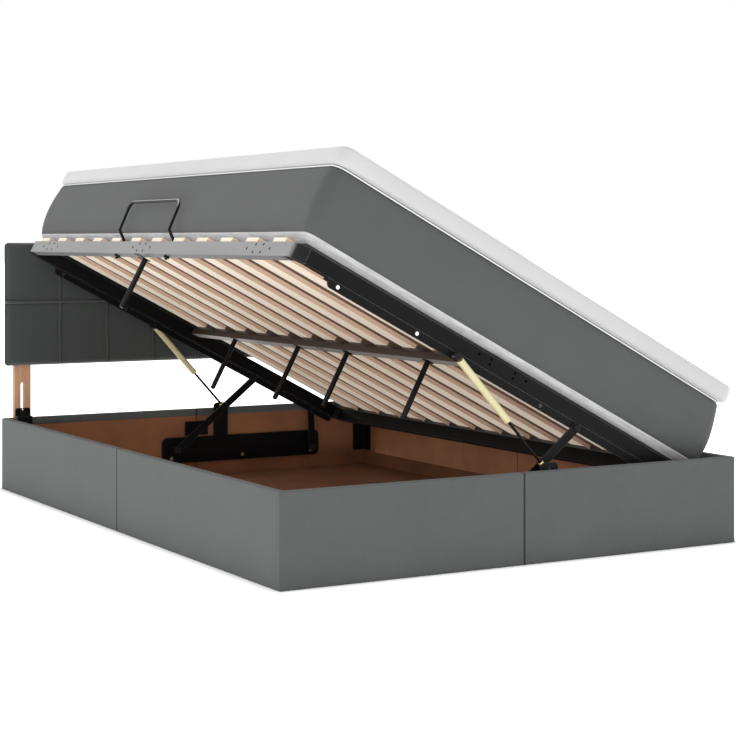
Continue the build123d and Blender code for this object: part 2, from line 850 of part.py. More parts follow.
def make_headboard():
    wide = 2 * headboard_half_wide
    pitch = wide / channels
    left = -headboard_half_wide
    right = headboard_half_wide
    with BuildPart() as pad:
        with BuildSketch(Plane.XY.offset(headboard_low)):
            with BuildLine():
                Line((left, pad_back), (left, headboard_front + channel_crown))
                for index in range(channels):
                    start = left + index * pitch
                    ThreePointArc(
                        (start, headboard_front + channel_crown),
                        (start + pitch / 2, headboard_front),
                        (start + pitch, headboard_front + channel_crown),
                    )
                Line((right, headboard_front + channel_crown), (right, pad_back))
                Line((right, pad_back), (left, pad_back))
            make_face()
        extrude(amount=headboard_high - headboard_low)
        with BuildSketch(Plane(origin=(left - overrun, 0, 0), x_dir=(0, 1, 0), z_dir=(1, 0, 0))):
            depth = pad_back - headboard_front
            tall = headboard_high - headboard_low
            with Locations((headboard_front + depth, headboard_low + tall / 2)):
                RectangleRounded(2 * depth, tall, pad_edge_round)
        extrude(amount=wide + 2 * overrun, mode=Mode.INTERSECT)
        with BuildSketch(Plane.XY):
            depth = pad_back - headboard_front
            with Locations((0, headboard_front + depth)):
                RectangleRounded(wide, 2 * depth, pad_edge_round)
        extrude(amount=headboard_high, mode=Mode.INTERSECT)
        with BuildSketch(Plane(origin=(left - overrun, 0, 0), x_dir=(0, 1, 0), z_dir=(1, 0, 0))):
            with Locations((headboard_front - piping_out + piping_radius, row_split)):
                Circle(piping_radius)
            patch(headboard_front - overrun, headboard_front + piping_radius - piping_out,
                  row_split - piping_radius, row_split + piping_radius)
        extrude(amount=wide + 2 * overrun, mode=Mode.SUBTRACT)
    save(pad, "headboard_pad")
    with BuildPart() as piping:
        with BuildSketch(Plane(origin=(left, 0, 0), x_dir=(0, 1, 0), z_dir=(1, 0, 0))):
            with Locations((headboard_front - piping_out + piping_radius, row_split)):
                Circle(piping_radius)
        extrude(amount=wide)
    save(piping, "headboard_piping")
    with BuildPart() as back_board:
        with BuildSketch(upright(pad_back)):
            patch(
                left + board_inset,
                right - board_inset,
                headboard_low + board_inset,
                headboard_high - board_inset,
            )
        extrude(amount=-headboard_board)
    save(back_board, "headboard_board")
    for name, side in (("left", -1), ("right", 1)):
        centre = side * leg_centre
        with BuildPart() as leg:
            with BuildSketch(upright(leg_face)):
                patch(centre - leg_wide / 2, centre + leg_wide / 2, leg_low, leg_high)
            extrude(amount=-leg_thick)
            fillet(leg.edges().filter_by(Axis.Z), leg_edge)
            with BuildSketch(upright(leg_face - overrun)):
                with Locations((centre, (slot_top + slot_bottom) / 2)):
                    SlotOverall(slot_top - slot_bottom, slot_width, rotation=90)
            extrude(amount=-leg_thick - 2 * overrun, mode=Mode.SUBTRACT)
        save(leg, f"headboard_leg_{name}")


def make_leg_clamps():
    """Plates that step over the rim of the head panel and hold the slotted legs."""
    front = leg_face - slide_gap - clamp_steel
    with BuildPart() as clamps:
        for side in (-1, 1):
            centre = side * leg_centre
            low = centre - clamp_wide / 2
            high = centre + clamp_wide / 2
            with BuildSketch(upright(front)):
                patch(low, high, box_height, clamp_top - clamp_corner)
                patch(low + clamp_corner, high - clamp_corner, box_height, clamp_top)
                corner_places = [(low + clamp_corner, clamp_top - clamp_corner)]
                corner_places.append((high - clamp_corner, clamp_top - clamp_corner))
                with Locations(*corner_places):
                    Circle(clamp_corner)
            extrude(amount=-clamp_steel)
            with BuildSketch(Plane.XY.offset(box_height)):
                patch(low, high, inner_half_length - clamp_steel, front + clamp_steel)
            extrude(amount=clamp_steel)
            with BuildSketch(upright(inner_half_length)):
                patch(low, high, box_height - clamp_drop, box_height)
            extrude(amount=clamp_steel)
            with BuildSketch(upright(front + clamp_steel + overrun)):
                with Locations((centre, clamp_hole)):
                    Circle(hole_radius)
                with Locations((centre, clamp_bolt)):
                    Circle(clamp_bolt_radius)
            extrude(amount=clamp_steel + 2 * overrun, mode=Mode.SUBTRACT)
    save(clamps, "headboard_clamps")
    back = leg_face + leg_thick + slide_gap
    with BuildPart() as clamp_bolts:
        for side in (-1, 1):
            place = (side * leg_centre, clamp_bolt)
            disc(1, place, clamp_bolt_radius, front, back + clamp_nut)
            disc(1, place, clamp_nut_radius, front - bolt_head, front)
            with BuildSketch(upright(back)):
                with Locations(place):
                    RegularPolygon(clamp_nut_radius, 6)
            extrude(amount=-clamp_nut)
    save(clamp_bolts, "headboard_clamp_bolts")


make_box()
make_floor()
make_box_hardware()
make_rails()
make_centre_rail()
make_slats()
make_support_legs(
    "support_leg_raised",
    raised_leg_across,
    (raised_leg_along,),
    -rail_tall,
    raised_leg_long,
    raised_plate_middle,
    raised_plate_wide,
)
make_support_legs(
    "support_legs_centre",
    centre_across,
    (-centre_leg_outer, -centre_leg_inner, centre_leg_inner, centre_leg_outer),
    -centre_tall,
    centre_leg_long,
    centre_across,
    leg_plate_wide,
)
make_hoop()
make_mattress()
make_topper()
make_lift_plate("foot", -1, pin_clearance)
make_lift_plate("head", 1, loose_clearance)
make_plate_bolts()
make_bars()
make_gas_strut("foot", -1)
make_gas_strut("head", 1)
make_lift_base("foot", -1)
make_lift_base("head", 1)
make_base_bolts()
make_base_pivots()
make_headboard()
make_leg_clamps()
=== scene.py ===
import json
import math
import random

import bpy
from mathutils import Matrix, Vector, noise as mathnoise


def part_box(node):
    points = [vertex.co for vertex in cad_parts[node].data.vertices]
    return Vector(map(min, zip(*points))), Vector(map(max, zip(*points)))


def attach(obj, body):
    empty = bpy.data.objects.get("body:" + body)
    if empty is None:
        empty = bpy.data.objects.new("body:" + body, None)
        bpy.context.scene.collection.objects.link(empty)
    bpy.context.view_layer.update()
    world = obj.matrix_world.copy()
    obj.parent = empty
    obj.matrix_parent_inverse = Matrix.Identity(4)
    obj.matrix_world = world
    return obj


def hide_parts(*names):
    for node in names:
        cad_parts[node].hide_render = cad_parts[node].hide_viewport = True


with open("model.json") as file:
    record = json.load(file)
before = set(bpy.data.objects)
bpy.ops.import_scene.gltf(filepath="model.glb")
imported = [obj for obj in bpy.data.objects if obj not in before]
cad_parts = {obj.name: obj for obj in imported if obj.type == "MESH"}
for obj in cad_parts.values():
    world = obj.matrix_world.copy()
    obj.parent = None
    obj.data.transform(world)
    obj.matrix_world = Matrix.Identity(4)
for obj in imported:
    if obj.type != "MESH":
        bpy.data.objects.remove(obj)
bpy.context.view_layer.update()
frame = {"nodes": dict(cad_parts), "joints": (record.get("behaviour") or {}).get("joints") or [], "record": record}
scene = bpy.context.scene
random.seed(7)

# Measures of the box, and places of two pivots in the bed's middle plane, from the frame
cover_low, cover_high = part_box("foot_left_cover")
box_half_width = -cover_low.x
box_half_length = -cover_low.y
box_height = cover_high.z
panel_thick = cover_high.y - cover_low.y
pivots = {joint["name"]: Vector(joint["pos_m"]) for joint in frame["joints"] if "pos_m" in joint}
middle_plane = Vector((1, 0, 1))
strut_foot = pivots["gas_rod_foot_pivot"] * middle_plane
arm_top = pivots["deck_pivot"] * middle_plane
rod_along = abs(pivots["gas_rod_foot_pivot"].y)

# Other measures, in metres and radians
open_tilt = math.radians(27.8)
deck_corner = Vector((-0.629, 0, 0.844))
strut_top = Vector((-0.17910, 0, 0.54801))
band_tall = 0.025
bolt_split_across = 0.65

# Directions of the open deck in the rest frame
raised_face = (-math.cos(open_tilt), 0, math.sin(open_tilt))
deck_under = (-math.sin(open_tilt), 0, -math.cos(open_tilt))
deck_start = deck_corner.x * math.cos(open_tilt) - deck_corner.z * math.sin(open_tilt)
plate_bolt_split = deck_start + bolt_split_across


def deck_matrix(across=0.0, along=0.0):
    """Placement in deck directions: x from the raised edge, y along the bed, z square to the deck."""
    turn = Matrix.Rotation(open_tilt, 4, "Y")
    return Matrix.Translation(deck_corner) @ turn @ Matrix.Translation((across, along, 0))


# Materials
# Edge colour, a painted highlight where it is lighter: samples and bend limit
edge_samples = 4
edge_limit = 0.985
# Reach of the painted reflection onto the straight middle of the raised rail's underside
rail_straight_half = 0.955
rail_straight_fade = 25.0
rail_under_share = 0.6
strut_eye_radius = 0.0145
strut_eye_fade = 600.0


def new_material(name, color, roughness, metallic=0.0, specular=0.5):
    material = bpy.data.materials.new(name)
    material.use_nodes = True
    shader = material.node_tree.nodes["Principled BSDF"]
    shader.inputs["Base Color"].default_value = (*color, 1)
    shader.inputs["Roughness"].default_value = roughness
    shader.inputs["Metallic"].default_value = metallic
    shader.inputs["Specular IOR Level"].default_value = specular
    return material, material.node_tree, shader


def add_node(tree, kind, **values):
    node = tree.nodes.new(kind)
    for key, value in values.items():
        if hasattr(node, key):
            setattr(node, key, value)
        else:
            node.inputs[key].default_value = value
    return node


def object_coordinates(tree, tilted=False, stretch=(1, 1, 1)):
    """Object coordinates, turned to the deck's directions when tilted, then stretched."""
    vector = add_node(tree, "ShaderNodeTexCoord").outputs["Object"]
    if tilted:
        turned = add_node(tree, "ShaderNodeMapping")
        turned.inputs["Rotation"].default_value = (0, -open_tilt, 0)
        tree.links.new(vector, turned.inputs["Vector"])
        vector = turned.outputs["Vector"]
    mapping = add_node(tree, "ShaderNodeMapping")
    mapping.inputs["Scale"].default_value = stretch
    tree.links.new(vector, mapping.inputs["Vector"])
    return mapping.outputs["Vector"]


def noise(tree, scale, detail=3.0, roughness=0.5, stretch=(1, 1, 1), tilted=False):
    node = add_node(tree, "ShaderNodeTexNoise", Scale=scale, Detail=detail, Roughness=roughness)
    tree.links.new(object_coordinates(tree, tilted, stretch), node.inputs["Vector"])
    return node.outputs["Fac"]


def ramp(tree, factor, stops):
    node = add_node(tree, "ShaderNodeValToRGB")
    elements = node.color_ramp.elements
    while len(elements) < len(stops):
        elements.new(0.5)
    for element, (position, color) in zip(elements, stops):
        element.position = position
        element.color = (*color, 1)
    tree.links.new(factor, node.inputs["Fac"])
    return node.outputs["Color"]


def math_node(tree, operation, first, second=0.0, clamp=False):
    node = add_node(tree, "ShaderNodeMath", operation=operation, use_clamp=clamp)
    for socket, value in zip(node.inputs, (first, second)):
        if isinstance(value, (int, float)):
            socket.default_value = value
        else:
            tree.links.new(value, socket)
    return node.outputs["Value"]


def mixed(tree, first, second, share):
    """Weighted sum of two grey values."""
    rest = math_node(tree, "MULTIPLY", first, 1 - share)
    return math_node(tree, "ADD", rest, math_node(tree, "MULTIPLY", second, share))


def mix_color(tree, factor, first, second):
    node = add_node(tree, "ShaderNodeMix", data_type="RGBA")
    tree.links.new(factor, node.inputs["Factor"])
    for socket, value in ((node.inputs[6], first), (node.inputs[7], second)):
        if isinstance(value, tuple):
            socket.default_value = (*value, 1)
        else:
            tree.links.new(value, socket)
    return node.outputs[2]


def facing(tree, direction, low, high):
    """How far the surface's own normal points along a direction of the rest frame."""
    normal = add_node(tree, "ShaderNodeTexCoord").outputs["Normal"]
    dot = add_node(tree, "ShaderNodeVectorMath", operation="DOT_PRODUCT")
    tree.links.new(normal, dot.inputs[0])
    dot.inputs[1].default_value = direction
    above = math_node(tree, "SUBTRACT", dot.outputs["Value"], low)
    return math_node(tree, "MULTIPLY", above, 1 / (high - low), clamp=True)


def bump(tree, shader, height, strength, distance):
    node = add_node(tree, "ShaderNodeBump", Strength=strength, Distance=distance)
    tree.links.new(height, node.inputs["Height"])
    tree.links.new(node.outputs["Normal"], shader.inputs["Normal"])


def shade(color, factor):
    return tuple(min(1.0, channel * factor) for channel in color)


def bent_edge_colour(tree, color, edge_color, radius, amount):
    """Colour that turns to the edge colour where the surface bends within the radius; a lighter edge colour is a
    painted highlight along the edges, a darker one darkens them.
    """
    round_edge = add_node(tree, "ShaderNodeBevel", samples=edge_samples, Radius=radius)
    geometry = add_node(tree, "ShaderNodeNewGeometry")
    dot = add_node(tree, "ShaderNodeVectorMath", operation="DOT_PRODUCT")
    tree.links.new(round_edge.outputs["Normal"], dot.inputs[0])
    tree.links.new(geometry.outputs["Normal"], dot.inputs[1])
    bend = math_node(tree, "SUBTRACT", edge_limit, dot.outputs["Value"])
    return mix_color(tree, math_node(tree, "MULTIPLY", bend, amount, clamp=True), color, edge_color)


def weave_height(tree, thread):
    """Plain weave from crossed sets of threads, on every face direction."""
    parts = add_node(tree, "ShaderNodeSeparateXYZ")
    tree.links.new(object_coordinates(tree), parts.inputs["Vector"])
    waves = []
    for axis in ("X", "Y", "Z"):
        turned = math_node(tree, "MULTIPLY", parts.outputs[axis], 2 * math.pi / thread)
        waves.append(math_node(tree, "SINE", turned))
    total = math_node(tree, "MULTIPLY", waves[0], waves[2])
    for first, second in ((1, 2), (0, 1)):
        total = math_node(tree, "ADD", total, math_node(tree, "MULTIPLY", waves[first], waves[second]))
    return total


def joint_line(tree, color, dark, width):
    """Colour that is dark within a short way of the planes through the middle of the box."""
    parts = add_node(tree, "ShaderNodeSeparateXYZ")
    tree.links.new(add_node(tree, "ShaderNodeTexCoord").outputs["Object"], parts.inputs["Vector"])
    away = [math_node(tree, "ABSOLUTE", parts.outputs[axis]) for axis in ("X", "Y")]
    share = math_node(tree, "MULTIPLY", math_node(tree, "MINIMUM", away[0], away[1]), 1 / width)
    return mix_color(tree, math_node(tree, "POWER", share, 3.0, clamp=True), dark, color)


def woven_fabric(name, color, thread=0.0024, contrast=0.1, fuzz=0.2, depth=0.3, joint=0.0):
    material, tree, shader = new_material(name, color, 0.92, specular=0.15)
    shader.inputs["Sheen Weight"].default_value = fuzz
    shader.inputs["Sheen Roughness"].default_value = 0.6
    slub = noise(tree, 240.0, roughness=0.65)
    cloud = mixed(tree, noise(tree, 7.0, 4.0), noise(tree, 45.0, 2.0), 0.35)
    stops = ((0.32, shade(color, 1 - contrast)), (0.68, shade(color, 1 + contrast)))
    tone = ramp(tree, mixed(tree, cloud, slub, 0.45), stops)
    if joint:
        tone = joint_line(tree, tone, shade(color, 0.18), joint)
    tree.links.new(tone, shader.inputs["Base Color"])
    bump(tree, shader, mixed(tree, weave_height(tree, thread), slub, 0.6), depth, 0.0006)
    return material


def knitted_fabric(name, color, cell=0.010):
    material, tree, shader = new_material(name, color, 0.88, specular=0.2)
    shader.inputs["Sheen Weight"].default_value = 0.6
    cells = add_node(tree, "ShaderNodeTexVoronoi", feature="SMOOTH_F1", Scale=1 / cell)
    tree.links.new(object_coordinates(tree), cells.inputs["Vector"])
    tone = ramp(tree, noise(tree, 6.0, 3.0), ((0.3, shade(color, 0.96)), (0.7, color)))
    tree.links.new(tone, shader.inputs["Base Color"])
    height = mixed(tree, cells.outputs["Distance"], noise(tree, 700.0, 2.0), 0.35)
    bump(tree, shader, height, 0.22, 0.0008)
    return material


def band_fabric(name, light, dark):
    """White band with soft pulled folds along its length; its colour darkens in the folds as painted shade."""
    material, tree, shader = new_material(name, light, 0.85, specular=0.2)
    shader.inputs["Sheen Weight"].default_value = 0.1
    fold = noise(tree, 9.0, 4.0, 0.6, stretch=(1, 1, 22))
    pull = noise(tree, 30.0, 3.0, 0.6, stretch=(1, 1, 4))
    value = mixed(tree, fold, pull, 0.4)
    tree.links.new(ramp(tree, value, ((0.38, dark), (0.58, light))), shader.inputs["Base Color"])
    bump(tree, shader, value, 0.5, 0.002)
    return material


def powder_coat(name, color, roughness=0.5, edge=(0.16, 0.16, 0.16), amount=2.2, specular=0.1):
    material, tree, shader = new_material(name, color, roughness, specular=specular)
    cloud = noise(tree, 14.0, 3.0)
    tone = ramp(tree, cloud, ((0.35, shade(color, 0.85)), (0.7, shade(color, 1.15))))
    # The lighter edge colour is a painted highlight along the bent edges.
    tree.links.new(bent_edge_colour(tree, tone, edge, 0.0012, amount), shader.inputs["Base Color"])
    rough = math_node(tree, "ADD", math_node(tree, "MULTIPLY", cloud, 0.12), roughness - 0.06)
    tree.links.new(rough, shader.inputs["Roughness"])
    bump(tree, shader, noise(tree, 900.0, 2.0), 0.1, 0.0002)
    return material


def steel_with_painted_reflection(name, silver, black, direction, low, high, underside=False):
    """Black steel with a painted reflection: silver on the faces that look along the direction, black on the
    others.

    With underside, the straight middle of the face under the deck takes part of the painted reflection too.
    """
    material, tree, shader = new_material(name, silver, 0.4, specular=0.15)
    cloud = noise(tree, 10.0, stretch=(1, 0.2, 1), tilted=True)
    tone = ramp(tree, cloud, ((0.3, shade(silver, 0.93)), (0.7, shade(silver, 1.04))))
    factor = facing(tree, direction, low, high)
    if underside:
        parts = add_node(tree, "ShaderNodeSeparateXYZ")
        tree.links.new(add_node(tree, "ShaderNodeTexCoord").outputs["Object"], parts.inputs["Vector"])
        from_middle = math_node(tree, "ABSOLUTE", parts.outputs["Y"])
        inner = math_node(tree, "SUBTRACT", rail_straight_half, from_middle)
        straight = math_node(tree, "MULTIPLY", inner, rail_straight_fade, clamp=True)
        below = math_node(tree, "MULTIPLY", facing(tree, deck_under, 0.5, 0.95), rail_under_share)
        factor = math_node(tree, "MAXIMUM", factor, math_node(tree, "MULTIPLY", below, straight))
    # Painted reflection: the silver tone where the surface faces the direction, black elsewhere.
    reflection_mix = mix_color(tree, factor, black, tone)
    # The lighter edge colour is a painted highlight along the edges.
    edge_toned = bent_edge_colour(tree, reflection_mix, (0.35, 0.35, 0.36), 0.001, 1.2)
    tree.links.new(edge_toned, shader.inputs["Base Color"])
    bump(tree, shader, noise(tree, 1100.0, 2.0), 0.06, 0.0002)
    return material


def bare_metal(name, color, roughness=0.3, dark_edge=0.8):
    material, tree, shader = new_material(name, color, roughness, metallic=1.0)
    brushed = noise(tree, 60.0, 3.0, 0.6, stretch=(1, 18, 1))
    tone = ramp(tree, brushed, ((0.3, shade(color, 0.88)), (0.7, color)))
    edge_toned = bent_edge_colour(tree, tone, shade(color, dark_edge), 0.001, 1.5)
    tree.links.new(edge_toned, shader.inputs["Base Color"])
    rough = math_node(tree, "ADD", math_node(tree, "MULTIPLY", brushed, 0.15), roughness - 0.07)
    tree.links.new(rough, shader.inputs["Roughness"])
    bump(tree, shader, brushed, 0.06, 0.0002)
    return material


def plate_bolt_metal(name, bright, dark):
    """Bright bolts towards the raised edge at the foot end, black ones elsewhere."""
    material, tree, shader = new_material(name, bright, 0.35, specular=0.4)
    parts = add_node(tree, "ShaderNodeSeparateXYZ")
    tree.links.new(object_coordinates(tree, tilted=True), parts.inputs["Vector"])
    near = math_node(tree, "LESS_THAN", parts.outputs["X"], plate_bolt_split)
    foot = math_node(tree, "LESS_THAN", parts.outputs["Y"], 0.0)
    tone = mix_color(tree, math_node(tree, "MULTIPLY", near, foot), dark, bright)
    # The edge colour paints a highlight ring round the black bolts and darkens the bright ones' edges.
    tree.links.new(bent_edge_colour(tree, tone, (0.3, 0.3, 0.3), 0.001, 1.5), shader.inputs["Base Color"])
    bump(tree, shader, noise(tree, 500.0, 2.0), 0.05, 0.0002)
    return material


def strut_metal(name, color, dark):
    """Brass-coloured lacquer on the cylinder, black on the eye round its upper pin."""
    material, tree, shader = new_material(name, color, 0.35, specular=0.5)
    centre = add_node(tree, "ShaderNodeVectorMath", operation="DISTANCE")
    flat = add_node(tree, "ShaderNodeVectorMath", operation="MULTIPLY")
    tree.links.new(add_node(tree, "ShaderNodeTexCoord").outputs["Object"], flat.inputs[0])
    flat.inputs[1].default_value = (1, 0, 1)
    tree.links.new(flat.outputs["Vector"], centre.inputs[0])
    centre.inputs[1].default_value = strut_top
    past = math_node(tree, "SUBTRACT", centre.outputs["Value"], strut_eye_radius)
    on_tube = math_node(tree, "MULTIPLY", past, strut_eye_fade, clamp=True)
    tone = ramp(tree, noise(tree, 25.0, 3.0), ((0.3, shade(color, 0.93)), (0.7, color)))
    tree.links.new(mix_color(tree, on_tube, dark, tone), shader.inputs["Base Color"])
    bump(tree, shader, noise(tree, 900.0, 2.0), 0.05, 0.0002)
    return material


def grain_value(tree, scale, stretch, tilted=False):
    broad = noise(tree, scale, 6.0, 0.62, stretch, tilted)
    fine = noise(tree, scale * 8, 3.0, 0.6, stretch, tilted)
    return mixed(tree, broad, fine, 0.3)


def slat_plywood(name, light, dark, side_light, side_dark):
    """Pale plywood slats: cream on their broad faces, browner on the cut edges, partly the plywood's edge colour
    and partly painted shade.
    """
    material, tree, shader = new_material(name, light, 0.5, specular=0.3)
    grain = grain_value(tree, 5.0, (1, 24, 24), tilted=True)
    broad = ramp(tree, grain, ((0.36, dark), (0.62, light)))
    cut_and_shaded_edge = ramp(tree, grain, ((0.36, side_dark), (0.62, side_light)))
    towards_foot = facing(tree, (0, -1, 0), 0.5, 0.8)
    towards_head = facing(tree, (0, 1, 0), 0.5, 0.8)
    edge = math_node(tree, "MAXIMUM", towards_foot, towards_head)
    tree.links.new(mix_color(tree, edge, broad, cut_and_shaded_edge), shader.inputs["Base Color"])
    bump(tree, shader, grain, 0.15, 0.0004)
    return material


def planed_wood(name, light, dark, stretch, scale=4.0):
    material, tree, shader = new_material(name, light, 0.5, specular=0.3)
    patches = noise(tree, 9.0, 2.0, stretch=(1, 1, 0.5))
    grain = mixed(tree, grain_value(tree, scale, stretch), patches, 0.15)
    tone = ramp(tree, grain, ((0.36, dark), (0.6, light)))
    # The lighter edge colour is a painted highlight along the edges.
    tree.links.new(bent_edge_colour(tree, tone, shade(light, 1.15), 0.0015, 1.5), shader.inputs["Base Color"])
    bump(tree, shader, grain, 0.15, 0.0004)
    return material


def hardboard(name, light, dark):
    material, tree, shader = new_material(name, light, 0.7, specular=0.3)
    fibre = noise(tree, 320.0, 3.0, 0.7)
    value = mixed(tree, noise(tree, 7.0, 5.0, 0.6), fibre, 0.35)
    tree.links.new(ramp(tree, value, ((0.35, dark), (0.65, light))), shader.inputs["Base Color"])
    bump(tree, shader, fibre, 0.2, 0.0003)
    return material


def moulded_plastic(name, color, roughness=0.5, specular=0.3):
    material, tree, shader = new_material(name, color, roughness, specular=specular)
    tone = ramp(tree, noise(tree, 20.0), ((0.3, shade(color, 0.9)), (0.7, shade(color, 1.1))))
    tree.links.new(tone, shader.inputs["Base Color"])
    bump(tree, shader, noise(tree, 1200.0, 2.0), 0.15, 0.0002)
    return material


box_fabric = woven_fabric("box_fabric", (0.066, 0.071, 0.0695), fuzz=0.12, joint=0.004)
headboard_fabric = woven_fabric("headboard_fabric", (0.029, 0.0335, 0.0325), fuzz=0.3)
mattress_fabric = woven_fabric(
    "mattress_fabric", (0.064, 0.067, 0.0655), thread=0.0018, contrast=0.07, fuzz=0.12, depth=0.22
)
mattress_under = woven_fabric(
    "mattress_under", (0.110, 0.070, 0.050), thread=0.0018, contrast=0.1, fuzz=0.0, depth=0.2
)
white_knit = knitted_fabric("white_knit", (0.42, 0.42, 0.42))
white_band = band_fabric("white_band", (0.48, 0.48, 0.48), (0.35, 0.35, 0.35))
white_tape = woven_fabric(
    "white_tape", (0.62, 0.62, 0.62), thread=0.0015, contrast=0.04, fuzz=0.1, depth=0.2
)
seam_shadow = woven_fabric(
    "seam_shadow", (0.035, 0.037, 0.036), thread=0.0015, contrast=0.1, fuzz=0.05, depth=0.2
)
board_brown = hardboard("board_brown", (0.230, 0.092, 0.038), (0.150, 0.058, 0.024))
# Black steel: the default lighter edge colour paints a highlight along its edges.
black_steel = powder_coat("black_steel", (0.0035, 0.0035, 0.0037))
gloss_black = powder_coat(
    "gloss_black", (0.002, 0.002, 0.0021), roughness=0.25, edge=(0.1, 0.1, 0.1), amount=0.0, specular=0.2
)
# Mattress stop: black steel with a painted highlight along the tops of its bars.
stop_steel_painted_highlight = steel_with_painted_reflection(
    "stop_steel_painted_highlight", (0.42, 0.42, 0.42), (0.002, 0.002, 0.0021), (-0.35, -0.15, 0.92), 0.64, 0.98
)
# Raised rail: black steel with a painted silver reflection on its outer face and part of its underside.
raised_steel_painted_reflection = steel_with_painted_reflection(
    "raised_steel_painted_reflection", (0.24, 0.24, 0.243), (0.006, 0.006, 0.006), raised_face, 0.80, 0.99, underside=True
)
# Centre rail: painted reflections, light grey on its underside and slat-brown on its sides.
centre_steel_painted_reflection = steel_with_painted_reflection("centre_steel_painted_reflection", (0.22, 0.21, 0.20), (0.05, 0.034, 0.026), deck_under, 0.3, 0.9)
bolt_steel = bare_metal("bolt_steel", (0.62, 0.60, 0.56), roughness=0.35)
# Black bolt heads: the lighter edge colour paints a highlight round their rims.
dark_bolt = powder_coat(
    "dark_bolt", (0.009, 0.009, 0.0095), roughness=0.4, edge=(0.18, 0.18, 0.18), amount=2.5
)
hole_painted_shade = moulded_plastic("hole_painted_shade", (0.0015, 0.0015, 0.0015), roughness=0.9, specular=0.0)
staple_steel = bare_metal("staple_steel", (0.16, 0.16, 0.165), roughness=0.4)
plate_bolts = plate_bolt_metal("plate_bolts", (0.70, 0.69, 0.65), (0.010, 0.010, 0.010))
brass = bare_metal("brass", (0.80, 0.69, 0.33), roughness=0.42, dark_edge=0.7)
strut_brass = strut_metal("strut_brass", (0.50, 0.45, 0.26), (0.006, 0.006, 0.006))
slat_wood = slat_plywood(
    "slat_wood", (0.84, 0.75, 0.63), (0.70, 0.60, 0.48), (0.80, 0.58, 0.43), (0.66, 0.46, 0.33)
)
pine = planed_wood("pine", (0.49, 0.275, 0.170), (0.39, 0.210, 0.125), (30, 30, 1.2))
black_plastic = moulded_plastic("black_plastic", (0.10, 0.075, 0.058))

slot_materials = {
    "board": board_brown,
    "box_fabric": box_fabric,
    "headboard_fabric": headboard_fabric,
    "black_steel": black_steel,
    "bolt_steel": bolt_steel,
    "silver_steel": raised_steel_painted_reflection,
    "slat_wood": slat_wood,
    "black_plastic": black_plastic,
    "brass": brass,
    "pine": pine,
    "mattress_fabric": mattress_fabric,
    "topper_fabric": white_knit,
}
own_materials = {
    "lift_plate_bolts": plate_bolts,
    "centre_rail": centre_steel_painted_reflection,
    "mattress_stop": stop_steel_painted_highlight,
    "support_leg_raised": gloss_black,
    "support_legs_centre": gloss_black,
    "lift_base_pivots": dark_bolt,
    "headboard_clamp_bolts": dark_bolt,
    "gas_cylinder_foot": strut_brass,
    "gas_cylinder_head": strut_brass,
}


def paint_nodes():
    for entry in frame["record"]["subparts"]:
        name = entry["node"]
        node = frame["nodes"][name]
        node.data.materials.clear()
        node.data.materials.append(own_materials.get(name, slot_materials[entry["material_slot"]]))


paint_nodes()

# Camera: level, matched to the photographed edges of the box
camera_lens = 88.71
camera_sensor = 36
camera_shift = (-0.0352, -0.1739)
camera_place = (-2.683, -4.972, 0.848)
camera_turn = math.radians(-30.289)
camera_reach = 200


def make_camera():
    data = bpy.data.cameras.new("camera")
    camera = bpy.data.objects.new("camera", data)
    scene.collection.objects.link(camera)
    data.lens = camera_lens
    data.sensor_width = camera_sensor
    data.shift_x, data.shift_y = camera_shift
    data.clip_end = camera_reach
    camera.location = camera_place
    camera.rotation_euler = (math.radians(90), 0, camera_turn)
    scene.camera = camera


make_camera()


# Mesh helpers
def mesh_object(name, points, faces, materials, face_materials=None, smooth=True):
    mesh = bpy.data.meshes.new(name)
    mesh.from_pydata([tuple(point) for point in points], [], faces)
    piece = bpy.data.objects.new(name, mesh)
    scene.collection.objects.link(piece)
    for material in materials:
        mesh.materials.append(material)
    for polygon in mesh.polygons:
        polygon.use_smooth = smooth
        if face_materials:
            polygon.material_index = face_materials[polygon.index]
    mesh.update()
    return piece


def ring_faces(rings, count, closed=False):
    """Faces between rings of points that follow each other, all with the same count."""
    faces = []
    for ring in range(rings if closed else rings - 1):
        low, high = ring * count, (ring + 1) % rings * count
        for index in range(count):
            after = (index + 1) % count
            faces.append((low + index, low + after, high + after, high + index))
    return faces


def end_caps(rings, count):
    last = (rings - 1) * count
    return [tuple(reversed(range(count))), tuple(range(last, last + count))]


def rounded_ring(half_x, half_y, corner, corner_steps, side_steps):
    """Points of a rounded rectangle, anticlockwise, with the same count whatever its size."""
    points = []
    turns = ((1, -1, -90), (1, 1, 0), (-1, 1, 90), (-1, -1, 180))
    for index, (x, y, start) in enumerate(turns):
        centre = Vector((x * (half_x - corner), y * (half_y - corner)))
        for step in range(corner_steps + 1):
            angle = math.radians(start + 90 * step / corner_steps)
            points.append(centre + corner * Vector((math.cos(angle), math.sin(angle))))
        after_x, after_y, after_start = turns[(index + 1) % 4]
        after = Vector((after_x * (half_x - corner), after_y * (half_y - corner)))
        angle = math.radians(after_start)
        goal = after + corner * Vector((math.cos(angle), math.sin(angle)))
        begin = points[-1]
        for step in range(1, side_steps):
            points.append(begin.lerp(goal, step / side_steps))
    return points


